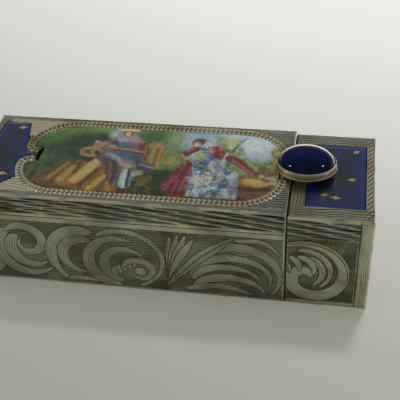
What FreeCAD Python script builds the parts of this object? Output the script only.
"""Silver and enamel lipstick case: mirror lid on a hinge, pull-out end section with a swivel lipstick.

Frame: millimetres, +Z up, +X along the case towards the pull-out end section, -Y the front.
Origin: the middle of the bounding box's base, hinge barrel included. The case stands on z = 0.
"""
import FreeCAD, Part
import os
from FreeCAD import Rotation, Vector

doc = FreeCAD.newDocument("lipstick_case")

DIMENSIONS = [
    # the case
    ("case_length", 57.0, "closed case without the hinge barrel"),
    ("case_width", 19.2, "front to back"),
    ("case_height", 15.8, "base to the pull-out section's top face"),
    ("lid_proud", 0.5, "the lid's top face above the pull-out section's"),
    ("long_section", 45.6, "length of body and lid"),
    ("section_gap", 0.05, "hairline between the long section and the end section"),
    ("wall", 0.8, "sheet thickness of the shells"),
    ("edge_round", 0.3, "radius on the long outer edges"),
    ("lid_joint", 12.7, "height of the joint between body and lid"),
    ("fit_gap", 0.1, "clearance of pieces that slide in one another"),
    # deck and rim inside the body
    ("deck_top", 12.5, "top of the deck plate"),
    ("deck_thickness", 0.5, ""),
    ("rim_top", 13.6, "top of the upstand that the lid grips"),
    ("rim_wall", 0.4, ""),
    ("rim_gap", 0.15, "between the upstand and the lid's skirt"),
    # hinge
    ("hinge_offset", 1.05, "pin axis to the left wall"),
    ("hinge_radius", 0.95, "knuckles"),
    ("hinge_pin_radius", 0.4, ""),
    ("hinge_pin_gap", 0.04, "clearance in the lid's knuckles"),
    ("knuckle_width", 3.15, "one of five"),
    ("knuckle_gap", 0.05, "between neighbours"),
    ("leaf_thickness", 0.4, "hinge leaf on the left wall"),
    ("leaf_drop", 2.0, "pin axis to the leaf's far edge"),
    # cartouche on the lid
    ("cartouche_start", 6.4, "left end to the cartouche"),
    ("cartouche_end", 45.2, ""),
    ("cartouche_half_width", 8.8, ""),
    ("lobe_half_length", 7.2, "two lobes at each end"),
    ("lobe_half_width", 6.5, "the lobe's middle line to its outer side"),
    ("curl_radius", 1.9, "round which each lobe's end curls in"),
    ("notch_depth", 2.3, "left end of the cartouche to the bottom of the notch between its curls"),
    ("step_back", 0.4, "right end, between the lobes, set back for the tongue's foot"),
    ("border_width", 1.25, "rope border"),
    ("recess_depth", 0.45, "seat of the plaque and its border"),
    ("plaque_proud", 0.05, "plaque above the top face"),
    ("border_proud", 0.12, "rope border above the top face"),
    # blue enamel panels
    ("enamel_depth", 0.35, "recess of the blue panels"),
    ("blue_left_start", 1.3, ""),
    ("blue_left_corner", 5.2, "left end to where the left panel's front and back edges stop"),
    ("blue_front_slant", -45.0, "degrees, from there to the cartouche at the front"),
    ("blue_back_slant", 13.5, "degrees, the same at the back"),
    ("blue_left_half_width", 7.6, ""),
    ("blue_right_start", 47.9, ""),
    ("blue_right_end", 55.6, ""),
    ("blue_right_half_width", 6.9, ""),
    ("paillon_radius", 0.45, "gold spangle"),
    ("paillon_thickness", 0.06, ""),
    # thumbpiece
    ("stone_x", 47.5, "left end to the stone's centre"),
    ("bezel_half_length", 4.3, ""),
    ("bezel_half_width", 3.45, ""),
    ("bezel_wall", 0.3, ""),
    ("bezel_floor", 0.2, ""),
    ("bezel_height", 1.4, ""),
    ("stone_height", 3.0, ""),
    ("tongue_half_width", 1.2, ""),
    ("tongue_thickness", 0.3, "lies on the lid and carries the bezel"),
    ("tongue_foot", 0.7, "foot on the lid, just past the cartouche"),
    ("tongue_reach", 4.0, "past the lid's end"),
    # mirror under the lid
    ("mirror_inset", 2.4, "lid's ends to the frame"),
    ("mirror_frame_half_width", 7.9, ""),
    ("mirror_frame_width", 0.9, ""),
    ("mirror_frame_depth", 1.2, ""),
    ("mirror_thickness", 0.6, ""),
    ("mirror_rebate", 0.4, "frame in front of the glass"),
    # pull-out section
    ("end_plate_thickness", 0.7, ""),
    ("collar_length", 5.6, "spigot into the long section"),
    ("collar_wall", 0.4, ""),
    ("collar_bottom", 1.15, ""),
    ("spring_thickness", 0.2, "grip spring under the spigot"),
    ("spring_half_width", 2.5, ""),
    ("spring_foot", 1.2, "flat at each end of the spring"),
    # lipstick mechanism
    ("tube_axis", 6.5, "height of the lipstick's axis"),
    ("tube_start", 17.5, "left end to the mouth of the tube"),
    ("tube_wall", 0.3, "slotted tube"),
    ("slotted_tube_radius", 3.9, "outside"),
    ("running_gap", 0.05, "radial clearance of the turning and sliding tubes"),
    ("sleeve_radius", 4.4, "spiral sleeve, outside"),
    ("cover_radius", 4.6, "cover tube, outside"),
    ("ring_length", 0.8, "retaining ring"),
    ("ring_gap", 0.1, ""),
    ("cover_gap", 0.2, "cover tube to the pull-out section's left end"),
    ("tube_base_radius", 5.0, ""),
    ("tube_base_length", 3.0, ""),
    ("tube_base_bore", 2.0, "depth of the slotted tube's seat"),
    ("spiral_pitch", 14.0, "carrier's travel in one turn of the sleeve"),
    ("carrier_travel", 12.25, "315 degrees of turn"),
    ("lug_position", 41.5, "left end to the lugs, lipstick down"),
    ("lug_radius", 0.55, ""),
    ("lug_reach", 4.3, "axis to the end of a lug"),
    ("slot_half_width", 0.65, "both kinds of slot"),
    ("slot_play", 0.25, "slot beyond the lugs at each end"),
    ("carrier_length", 6.0, ""),
    ("carrier_floor", 0.6, ""),
    ("carrier_lug_inset", 1.0, "lugs to the carrier's closed end"),
    ("bullet_length", 22.4, ""),
    ("bullet_slope", 40.0, "degrees, the slanted tip"),
]

sheet = doc.addObject("Spreadsheet::Sheet", "Dimensions")
for row, (alias, value, note) in enumerate(DIMENSIONS, start=1):
    sheet.set(f"A{row}", alias)
    sheet.set(f"B{row}", str(value))
    sheet.set(f"C{row}", note)
    sheet.setAlias(f"B{row}", alias)
doc.recompute()

SIZE = {alias: value for alias, value, _ in DIMENSIONS}
subparts = []


# ---- expressions for the places that many pieces share ----

def dim(alias):
    return f"Dimensions.{alias}"


def add(*terms):
    return " + ".join(f"({term})" for term in terms)


def less(first, *terms):
    return f"({first})" + "".join(f" - ({term})" for term in terms)


HINGE_OVERHANG = add(dim("hinge_offset"), dim("hinge_radius"))
LEFT = f"(({HINGE_OVERHANG}) - {dim('case_length')}) / 2"


def along(distance):
    """Place along X, given its distance from the case's left end."""
    return add(LEFT, distance)


HALF = f"{dim('case_width')} / 2"
TOP = dim("case_height")
LID_TOP = f"({dim('case_height')} + {dim('lid_proud')})"
WALL = dim("wall")
JOINT = dim("lid_joint")
SEAM = along(dim("long_section"))
END_START = add(SEAM, dim("section_gap"))
RIGHT = along(dim("case_length"))
INSIDE = less(HALF, WALL)
AXIS = dim("tube_axis")


def both_sides(half):
    return f"-({half})", half


# ---- building blocks ----

# side of the turned blocks that cut a slant, longer than any piece they cut
CUTTER_REACH = 12.0


def keep(shape, label):
    """Make a shape a sub-part: its label is the name of its file."""
    shape.Label = label
    if shape.Label != label:
        raise RuntimeError(f"the label {label} is taken")
    subparts.append(shape)
    return shape


def box(name, x, y, z):
    """Box between three pairs of expressions."""
    shape = doc.addObject("Part::Box", name)
    for side, axis, (low, high) in zip(("Length", "Width", "Height"), "xyz", (x, y, z)):
        shape.setExpression(side, less(high, low))
        shape.setExpression(f"Placement.Base.{axis}", low)
    return shape


def round_long_edges(name, base, heights):
    """Round the outer edges that run along X at the given heights."""
    doc.recompute()
    edges = []
    for number, edge in enumerate(base.Shape.Edges, start=1):
        ends = [vertex.Point for vertex in edge.Vertexes]
        if len(ends) != 2 or abs(ends[0].y - ends[1].y) > 1e-6 or abs(ends[0].z - ends[1].z) > 1e-6:
            continue
        outer = abs(abs(ends[0].y) - SIZE["case_width"] / 2) < 1e-6
        if outer and any(abs(ends[0].z - height) < 1e-6 for height in heights):
            edges.append((number, SIZE["edge_round"], SIZE["edge_round"]))
    shape = doc.addObject("Part::Fillet", name)
    shape.Base = base
    shape.Edges = edges
    return shape


TURN_FROM_Z = {
    "x": Rotation(Vector(0, 1, 0), 90),
    "y": Rotation(Vector(1, 0, 0), -90),
    "z": Rotation(),
}


def rod(name, axis, radius, start, end, centre):
    """Cylinder along an axis from start to end; centre gives its other two coordinates in order."""
    shape = doc.addObject("Part::Cylinder", name)
    shape.Placement.Rotation = TURN_FROM_Z[axis]
    shape.setExpression("Radius", radius)
    shape.setExpression("Height", less(end, start))
    places = dict(zip([letter for letter in "xyz" if letter != axis], centre))
    places[axis] = start
    for letter, place in places.items():
        shape.setExpression(f"Placement.Base.{letter}", place)
    return shape


def fuse(name, *shapes):
    joined = doc.addObject("Part::MultiFuse", name)
    joined.Shapes = list(shapes)
    joined.Refine = True
    return joined


def cut(name, base, *tools):
    result = doc.addObject("Part::Cut", name)
    result.Base = base
    result.Tool = tools[0] if len(tools) == 1 else fuse(f"{name}_tools", *tools)
    return result


def group(name, shapes):
    compound = doc.addObject("Part::Compound", name)
    compound.Links = shapes
    return compound


def tube(name, outer, inner, start, end):
    """Round tube on the lipstick's axis."""
    whole = rod(f"{name}_outside", "x", outer, start, end, ("0", AXIS))
    bore = rod(f"{name}_bore", "x", inner, start, end, ("0", AXIS))
    return cut(f"{name}_pipe", whole, bore)


def frame_ring(name, x, y, z, width):
    """Rectangular ring standing on the XY plane, with the same width all round."""
    outside = box(f"{name}_outside", x, y, z)
    inner_x = (add(x[0], width), less(x[1], width))
    inner_y = (add(y[0], width), less(y[1], width))
    return cut(f"{name}_ring", outside, box(f"{name}_opening", inner_x, inner_y, z))


def oval(name, half_length, half_width, centre, z):
    """Upright oval disc, longest along X."""
    outline = doc.addObject("Part::Ellipse", f"{name}_ellipse")
    outline.setExpression("MajorRadius", half_length)
    outline.setExpression("MinorRadius", half_width)
    outline.setExpression("Placement.Base.x", centre[0])
    outline.setExpression("Placement.Base.y", centre[1])
    outline.setExpression("Placement.Base.z", z[0])
    disc = doc.addObject("Part::Extrusion", name)
    disc.Base = outline
    disc.DirMode = "Custom"
    disc.Dir = Vector(0, 0, 1)
    disc.Solid = True
    disc.setExpression("LengthFwd", less(z[1], z[0]))
    return disc


def cartouche(name, inset, z):
    """Outline with two lobes at each end; the left ones curl in towards each other across a notch."""
    start, end = along(dim("cartouche_start")), along(dim("cartouche_end"))
    half_length = less(dim("lobe_half_length"), inset)
    half_width = less(dim("lobe_half_width"), inset)
    lobe_y = less(dim("cartouche_half_width"), dim("lobe_half_width"))
    lobe_x = add(start, dim("lobe_half_length")), less(end, dim("lobe_half_length"))
    curl_x = add(start, dim("curl_radius"))
    lobes, curls = [], []
    for row, y in (("front", f"-({lobe_y})"), ("back", lobe_y)):
        for side, x in zip(("left", "right"), lobe_x):
            lobes.append(oval(f"{name}_{side}_{row}", half_length, half_width, (x, y), z))
        curls.append(rod(f"{name}_curl_{row}", "z", less(dim("curl_radius"), inset), *z, (curl_x, y)))
    middle = box(f"{name}_middle", lobe_x, both_sides(less(dim("cartouche_half_width"), inset)), z)
    strip = box(f"{name}_strip", (start, end), both_sides(lobe_y), z)
    lobed = cut(f"{name}_lobed", fuse(f"{name}_lobes", middle, *lobes), strip)

    waist = box(f"{name}_waist", (curl_x, less(end, add(dim("step_back"), inset))), both_sides(lobe_y), z)
    notch_half = add(less(lobe_y, dim("curl_radius")), inset)
    notch = box(f"{name}_notch", (start, add(start, add(dim("notch_depth"), f"({inset}) / 2"))),
                both_sides(notch_half), z)
    return cut(f"{name}_outline", fuse(f"{name}_whole", lobed, waist, *curls), notch)


# ---- long section: body ----

def make_body():
    channel = round_long_edges(
        "body_rounded", box("body_block", (LEFT, SEAM), both_sides(HALF), ("0", JOINT)), [0])
    hollow = box("body_hollow", (add(LEFT, WALL), SEAM), both_sides(INSIDE), (WALL, JOINT))
    keep(cut("body", channel, hollow), "body_shell")

    deck_bottom = less(dim("deck_top"), dim("deck_thickness"))
    keep(box("deck", (add(LEFT, WALL), SEAM), both_sides(INSIDE), (deck_bottom, dim("deck_top"))),
         "deck_plate")

    inset = add(WALL, dim("rim_gap"))
    keep(frame_ring("rim", (add(LEFT, inset), less(SEAM, inset)), both_sides(less(HALF, inset)),
                    (dim("deck_top"), dim("rim_top")), dim("rim_wall")), "snap_rim")


def make_grip_spring():
    """Bowed leaf on the body's floor: flat feet at both ends, raised in the middle."""
    thickness = dim("spring_thickness")
    width = both_sides(dim("spring_half_width"))
    start = less(SEAM, dim("collar_length"))
    lift = add(WALL, f"{thickness} / 2")
    foot = dim("spring_foot")
    stretches = [
        box("spring_foot_left", (start, add(start, foot)), width, (WALL, add(WALL, thickness))),
        box("spring_foot_right", (less(SEAM, foot), SEAM), width, (WALL, add(WALL, thickness))),
        box("spring_bow", (add(start, foot), less(SEAM, foot)), width, (lift, add(lift, thickness))),
    ]
    keep(fuse("spring", *stretches), "grip_spring")


# ---- hinge at the left end ----

def knuckle_span(number):
    """Span along Y of one of the five knuckles, counted from the front."""
    pitch = add(dim("knuckle_width"), dim("knuckle_gap"))
    first = f"-2.5 * ({pitch}) + {dim('knuckle_gap')} / 2"
    low = f"{first} + {number} * ({pitch})"
    return low, add(low, dim("knuckle_width"))


def hinge_leaf(name, numbers, up, bore):
    """Knuckles with their straps and a leaf against the left wall, above or below the pin axis."""
    axis_x = less(LEFT, dim("hinge_offset"))
    far = add(JOINT, dim("leaf_drop")) if up else less(JOINT, dim("leaf_drop"))
    near = add(JOINT, dim("hinge_radius")) if up else less(JOINT, dim("hinge_radius"))
    leaf_z = (near, far) if up else (far, near)
    strap_z = (JOINT, near) if up else (near, JOINT)
    ends = (knuckle_span(0)[0], knuckle_span(4)[1])
    solids = [box(f"{name}_plate", (less(LEFT, dim("leaf_thickness")), LEFT), ends, leaf_z)]
    bores = []
    for number in numbers:
        span = knuckle_span(number)
        solids.append(box(f"{name}_strap_{number}", (axis_x, LEFT), span, strap_z))
        solids.append(rod(f"{name}_barrel_{number}", "y", dim("hinge_radius"), *span, (axis_x, JOINT)))
        bores.append(rod(f"{name}_bore_{number}", "y", bore, *span, (axis_x, JOINT)))
    return cut(f"{name}_drilled", fuse(f"{name}_solid", *solids), *bores)


def make_hinge():
    pin = dim("hinge_pin_radius")
    keep(hinge_leaf("lower", (0, 2, 4), False, pin), "body_hinge_leaf")
    keep(hinge_leaf("upper", (1, 3), True, add(pin, dim("hinge_pin_gap"))), "lid_hinge_leaf")
    axis_x = less(LEFT, dim("hinge_offset"))
    keep(rod("pin", "y", pin, knuckle_span(0)[0], knuckle_span(4)[1], (axis_x, JOINT)), "hinge_pin")


# ---- long section: lid ----

def left_panel(name, z):
    """Blue panel that fills the space between the left wall and the cartouche's curls."""
    sides = both_sides(dim("blue_left_half_width"))
    panel = box(f"{name}_block", (along(dim("blue_left_start")), along(dim("lobe_half_length"))), sides, z)
    corners = []
    for row, y in zip(("front", "back"), sides):
        corner = doc.addObject("Part::Box", f"{name}_corner_{row}")
        corner.Length = corner.Width = CUTTER_REACH
        corner.setExpression("Height", less(z[1], z[0]))
        corner.Placement.Rotation = Rotation(Vector(0, 0, 1), SIZE[f"blue_{row}_slant"])
        offset = corner.Placement.Rotation.multVec(Vector(0, -CUTTER_REACH / 2, 0))
        corner.setExpression("Placement.Base.x", add(along(dim("blue_left_corner")), offset.x))
        corner.setExpression("Placement.Base.y", add(y, offset.y))
        corner.setExpression("Placement.Base.z", z[0])
        corners.append(corner)
    return cut(name, panel, cartouche(f"{name}_space", "0", z), *corners)


def right_panel(name, z):
    return box(name, (along(dim("blue_right_start")), along(dim("blue_right_end"))),
               both_sides(dim("blue_right_half_width")), z)


def make_lid():
    recess = (less(LID_TOP, dim("recess_depth")), LID_TOP)
    enamel = (less(LID_TOP, dim("enamel_depth")), LID_TOP)
    block = round_long_edges(
        "lid_rounded", box("lid_block", (LEFT, SEAM), both_sides(HALF), (JOINT, LID_TOP)),
        [SIZE["case_height"] + SIZE["lid_proud"]])
    hollow = box("lid_hollow", (add(LEFT, WALL), less(SEAM, WALL)), both_sides(INSIDE),
                 (JOINT, less(LID_TOP, WALL)))
    keep(cut("lid", block, hollow, cartouche("lid_seat", "0", recess),
             left_panel("lid_enamel_seat", enamel)), "lid_shell")

    plaque_z = (recess[0], add(LID_TOP, dim("plaque_proud")))
    keep(cartouche("plaque", dim("border_width"), plaque_z), "painted_plaque")
    border_z = (recess[0], add(LID_TOP, dim("border_proud")))
    keep(cut("border", cartouche("border_outer", "0", border_z),
             cartouche("border_inner", dim("border_width"), border_z)), "cartouche_border")
    keep(left_panel("enamel_left", enamel), "blue_enamel_left")


def make_mirror():
    ceiling = less(LID_TOP, WALL)
    frame_bottom = less(ceiling, dim("mirror_frame_depth"))
    glass_bottom = add(frame_bottom, dim("mirror_rebate"))
    glass_top = add(glass_bottom, dim("mirror_thickness"))
    inset = dim("mirror_inset")
    width = dim("mirror_frame_width")
    x = (add(LEFT, inset), less(SEAM, inset))
    y = both_sides(dim("mirror_frame_half_width"))
    keep(frame_ring("mirror_frame", x, y, (frame_bottom, ceiling), width), "mirror_frame")
    inner_x = (add(x[0], width), less(x[1], width))
    inner_y = both_sides(less(dim("mirror_frame_half_width"), width))
    keep(box("mirror", inner_x, inner_y, (glass_bottom, glass_top)), "mirror_glass")
    keep(box("backing", inner_x, inner_y, (glass_top, ceiling)), "mirror_backing")


def make_thumbpiece():
    setting = add(LID_TOP, dim("tongue_thickness"))
    floor = add(setting, dim("bezel_floor"))
    rim = add(setting, dim("bezel_height"))
    half_length, half_width = dim("bezel_half_length"), dim("bezel_half_width")
    inner = (less(half_length, dim("bezel_wall")), less(half_width, dim("bezel_wall")))

    tongue_x = (less(SEAM, dim("tongue_foot")), add(SEAM, dim("tongue_reach")))
    keep(box("tongue", tongue_x, both_sides(dim("tongue_half_width")), (LID_TOP, setting)), "thumb_tongue")

    centre = (along(dim("stone_x")), "0")
    keep(cut("bezel", oval("bezel_outside", half_length, half_width, centre, (setting, rim)),
             oval("bezel_hollow", *inner, centre, (floor, rim))), "bezel_cup")

    dome = doc.addObject("Part::Ellipsoid", "stone")
    dome.Angle1 = 0
    dome.setExpression("Radius1", dim("stone_height"))
    dome.setExpression("Radius2", inner[0])
    dome.setExpression("Radius3", inner[1])
    dome.setExpression("Placement.Base.x", centre[0])
    dome.setExpression("Placement.Base.z", floor)
    keep(dome, "cabochon")


# distances from the left end and from the middle line
PAILLONS = {
    "left": [(4.4, 6.3), (5.2, -5.0)],
    "right": [(50.4, -4.5), (53.8, -0.8), (54.3, 5.6), (49.3, 5.2)],
}


def make_paillons():
    for side, places in PAILLONS.items():
        surface = LID_TOP if side == "left" else TOP
        z = (surface, add(surface, dim("paillon_thickness")))
        spangles = [rod(f"paillon_{side}_{number}", "z", dim("paillon_radius"), *z, (along(x), str(y)))
                    for number, (x, y) in enumerate(places, start=1)]
        keep(group(f"paillons_{side}", spangles), f"gold_paillons_{side}")


# ---- pull-out section ----

def make_end_section():
    block = round_long_edges(
        "end_rounded", box("end_block", (END_START, RIGHT), both_sides(HALF), ("0", TOP)),
        [0, SIZE["case_height"]])
    hollow = box("end_hollow", (END_START, less(RIGHT, WALL)), both_sides(INSIDE),
                 (WALL, less(TOP, WALL)))
    enamel = (less(TOP, dim("enamel_depth")), TOP)
    keep(cut("end_cap", block, hollow, right_panel("end_enamel_seat", enamel)), "end_shell")
    keep(right_panel("enamel_right", enamel), "blue_enamel_right")

    plate_end = add(END_START, dim("end_plate_thickness"))
    plate = box("end_plate_blank", (END_START, plate_end), both_sides(INSIDE), (WALL, less(TOP, WALL)))
    hole = rod("end_plate_hole", "x", dim("slotted_tube_radius"), END_START, plate_end, ("0", AXIS))
    keep(cut("end_plate_drilled", plate, hole), "end_plate")

    outer_y = less(INSIDE, dim("fit_gap"))
    bottom = dim("collar_bottom")
    ceiling = less(dim("deck_top"), dim("deck_thickness"), dim("fit_gap"))
    collar_wall = dim("collar_wall")
    collar_x = (less(END_START, dim("collar_length")), END_START)
    outside = box("collar_outside", collar_x, both_sides(outer_y), (bottom, ceiling))
    inside = box("collar_inside", collar_x, both_sides(less(outer_y, collar_wall)),
                 (add(bottom, collar_wall), less(ceiling, collar_wall)))
    keep(cut("collar", outside, inside), "spigot_collar")


# ---- lipstick mechanism, on the pull-out section ----

LUG_DOWN = along(dim("lug_position"))
LUG_UP = less(LUG_DOWN, dim("carrier_travel"))
TUBE_START = along(dim("tube_start"))
PLATE_END = add(END_START, dim("end_plate_thickness"))
SLEEVE_SPAN = (add(TUBE_START, dim("ring_length"), dim("ring_gap")), less(END_START, dim("cover_gap")))
SLEEVE_BORE = add(dim("slotted_tube_radius"), dim("running_gap"))
OPPOSITE = (("first", 0), ("second", 180))


def make_fixed_tube():
    seat_end = add(PLATE_END, dim("tube_base_bore"))
    inner = less(dim("slotted_tube_radius"), dim("tube_wall"))
    plain = tube("slotted", dim("slotted_tube_radius"), inner, TUBE_START, seat_end)
    slot_reach = add(dim("lug_radius"), dim("slot_play"))
    slots = box("straight_slots", (less(LUG_UP, slot_reach), add(LUG_DOWN, slot_reach)),
                both_sides(dim("slot_half_width")),
                (less(AXIS, dim("sleeve_radius")), add(AXIS, dim("sleeve_radius"))))
    keep(cut("slotted_cut", plain, slots), "slotted_tube")

    base = rod("base_disc", "x", dim("tube_base_radius"), PLATE_END,
               add(PLATE_END, dim("tube_base_length")), ("0", AXIS))
    seat = rod("base_seat", "x", dim("slotted_tube_radius"), PLATE_END, seat_end, ("0", AXIS))
    keep(cut("base_drilled", base, seat), "tube_base")

    keep(tube("ring", dim("sleeve_radius"), dim("slotted_tube_radius"), TUBE_START,
              add(TUBE_START, dim("ring_length"))), "retaining_ring")


# radial depth of the slots' cutters, enough to pass through both tubes' walls
CUTTER_DEPTH = 1.4


def helical_slot(name, turn):
    """Cutter for one helical slot: a rectangle swept along a helix, with a round hole at each end."""
    middle = (SIZE["slotted_tube_radius"] + SIZE["sleeve_radius"]) / 2
    helix = doc.addObject("Part::Helix", f"{name}_path")
    helix.setExpression("Pitch", dim("spiral_pitch"))
    helix.setExpression("Height", dim("carrier_travel"))
    helix.Radius = middle

    # the axial width that leaves the slot's true width between its walls
    lead = SIZE["spiral_pitch"] / (2 * 3.14159265 * middle)
    axial = 2 * SIZE["slot_half_width"] * (1 + lead ** 2) ** 0.5
    profile = doc.addObject("Part::Plane", f"{name}_profile")
    profile.Length = CUTTER_DEPTH
    profile.Width = axial
    profile.Placement.Rotation = Rotation(Vector(1, 0, 0), 90)
    profile.Placement.Base = Vector(middle - CUTTER_DEPTH / 2, 0, -axial / 2)

    sweep = doc.addObject("Part::Sweep", f"{name}_sweep")
    sweep.Sections = [profile]
    sweep.Spine = (helix, ["Edge1"])
    sweep.Solid = True
    sweep.Frenet = True

    ends = []
    for end, height in (("start", 0.0), ("finish", SIZE["carrier_travel"])):
        hole = doc.addObject("Part::Cylinder", f"{name}_{end}")
        hole.setExpression("Radius", dim("slot_half_width"))
        hole.Height = CUTTER_DEPTH
        angle = 360 * height / SIZE["spiral_pitch"]
        hole.Placement.Rotation = Rotation(Vector(0, 0, 1), angle) * TURN_FROM_Z["x"]
        outward = hole.Placement.Rotation.multVec(Vector(0, 0, 1))
        hole.Placement.Base = outward * (middle - CUTTER_DEPTH / 2) + Vector(0, 0, height)
        ends.append(hole)
    cutter = fuse(name, sweep, *ends)
    full_turn = 360 * SIZE["carrier_travel"] / SIZE["spiral_pitch"]
    cutter.Placement.Rotation = TURN_FROM_Z["x"] * Rotation(Vector(0, 0, 1), turn - full_turn)
    cutter.setExpression("Placement.Base.x", LUG_UP)
    cutter.setExpression("Placement.Base.z", AXIS)
    return cutter


def make_swivel():
    cutters = [helical_slot(f"helical_slot_{name}", turn) for name, turn in OPPOSITE]
    keep(cut("spiral", tube("spiral", dim("sleeve_radius"), SLEEVE_BORE, *SLEEVE_SPAN), *cutters),
         "spiral_sleeve")
    keep(tube("cover", dim("cover_radius"), dim("sleeve_radius"), *SLEEVE_SPAN), "cover_tube")


def make_carrier():
    outer = less(dim("slotted_tube_radius"), dim("tube_wall"), dim("running_gap"))
    inner = less(outer, dim("tube_wall"))
    closed_end = add(LUG_DOWN, dim("carrier_lug_inset"))
    open_end = less(closed_end, dim("carrier_length"))
    floor = less(closed_end, dim("carrier_floor"))
    body = rod("carrier_body", "x", outer, open_end, closed_end, ("0", AXIS))
    lugs = rod("carrier_lugs", "z", dim("lug_radius"), less(AXIS, dim("lug_reach")),
               add(AXIS, dim("lug_reach")), (LUG_DOWN, "0"))
    hollow = rod("carrier_hollow", "x", inner, open_end, floor, ("0", AXIS))
    keep(cut("carrier", fuse("carrier_solid", body, lugs), hollow), "carrier_cup")

    tip = less(floor, dim("bullet_length"))
    stick = rod("bullet_stick", "x", inner, tip, floor, ("0", AXIS))
    slope = doc.addObject("Part::Box", "bullet_tip_cutter")
    slope.Length = slope.Width = slope.Height = CUTTER_REACH
    slope.Placement.Rotation = Rotation(Vector(0, 1, 0), SIZE["bullet_slope"])
    corner = slope.Placement.Rotation.multVec(Vector(-CUTTER_REACH, -CUTTER_REACH / 2, -CUTTER_REACH / 2))
    slope_middle = add(tip, f"{inner} * tan({dim('bullet_slope')} * 1 deg)")
    slope.setExpression("Placement.Base.x", add(slope_middle, corner.x))
    slope.Placement.Base.y = corner.y
    slope.setExpression("Placement.Base.z", add(AXIS, corner.z))
    keep(cut("bullet", stick, slope), "lipstick_bullet")


make_body()
make_grip_spring()
make_hinge()
make_lid()
make_mirror()
make_thumbpiece()
make_paillons()
make_end_section()
make_fixed_tube()
make_swivel()
make_carrier()
doc.recompute()

# ---- checks and export ----

for thing in doc.Objects:
    if {"Invalid", "Error"} & set(thing.State):
        raise RuntimeError(f"{thing.Name} failed to build: {thing.State}")
for piece in subparts:
    if piece.Shape.isNull() or not piece.Shape.isValid() or not piece.Shape.Solids:
        raise RuntimeError(f"{piece.Label} has no valid solid")

os.makedirs("parts", exist_ok=True)
for piece in subparts:
    piece.Shape.exportStep(f"parts/{piece.Label}.step")
    bounds = piece.Shape.BoundBox
    print(f"{piece.Label:22s} {len(piece.Shape.Solids)} solids {piece.Shape.Volume:9.3f} mm3"
          f"  x {bounds.XMin:7.2f} {bounds.XMax:7.2f}  z {bounds.ZMin:6.2f} {bounds.ZMax:6.2f}")
